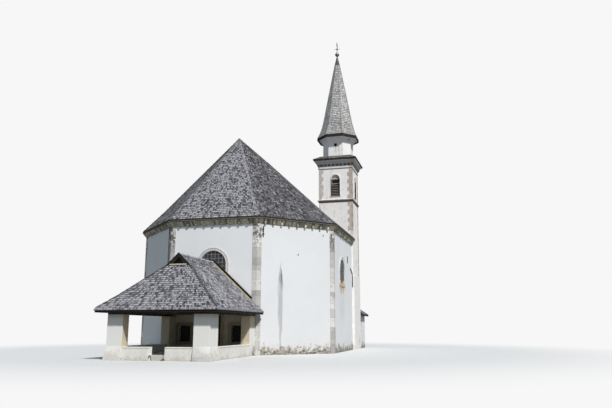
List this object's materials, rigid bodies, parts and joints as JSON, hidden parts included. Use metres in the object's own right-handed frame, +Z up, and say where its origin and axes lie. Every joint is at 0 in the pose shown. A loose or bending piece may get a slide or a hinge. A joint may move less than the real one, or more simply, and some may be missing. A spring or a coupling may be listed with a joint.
{
  "type": "chapel",
  "caption": "Village chapel with an eight-sided nave under a shingled hip roof, an open porch in front and a slender square bell tower with an eight-sided spire.",
  "frame": {"origin": "ground level under the middle of the nave", "axes": "+Z up, -Y towards the porch and the entrance, +X towards the bell tower's side"},
  "size_m": [14.82, 24.28, 26.245],
  "materials": {
    "plaster": "matt lime plaster",
    "tower_plaster": "matt weathered plaster",
    "bench_plaster": "matt plaster",
    "stone": "matt",
    "paving": "matt",
    "shingles": "weathered grey",
    "spire_shingles": "weathered grey",
    "dark_timber": "matt",
    "pale_timber": "matt",
    "glass": "gloss",
    "copper": "satin",
    "iron": "matt"
  },
  "bodies": {
    "root": {"front_wall_left": "plaster", "front_wall_right": "plaster", "front_wall_top": "plaster", "front_right_wall": "plaster", "right_wall": "plaster", "rear_right_wall": "plaster", "rear_wall": "plaster", "rear_left_wall": "plaster", "left_wall": "plaster", "front_left_wall": "plaster", "corner_quoins": "stone", "nave_floor": "paving", "roof_plate": "dark_timber", "eaves_frieze": "dark_timber", "rafter_ends": "pale_timber", "nave_roof": "shingles", "stone_surrounds": "stone", "entrance_door": "dark_timber", "arch_window_frames": "stone", "window_panes": "glass", "porch_piers": "plaster", "bench_walls": "bench_plaster", "bench_caps": "stone", "porch_floor": "paving", "porch_beams": "dark_timber", "porch_roof_frames": "dark_timber", "porch_roof": "shingles", "porch_edge_boards": "dark_timber", "wall_flashing": "dark_timber", "tower_shaft": "tower_plaster", "string_course": "stone", "belfry_walls": "tower_plaster", "belfry_frames": "stone", "belfry_louvres": "dark_timber", "tower_quoins": "stone", "tower_cornice": "plaster", "cornice_consoles": "plaster", "skirt_roof": "shingles", "drum": "tower_plaster", "spire_cornice": "plaster", "spire": "spire_shingles", "spire_cap": "copper", "spire_cross": "iron", "annex_walls": "plaster", "annex_roof": "shingles"}
  },
  "joints": []
}
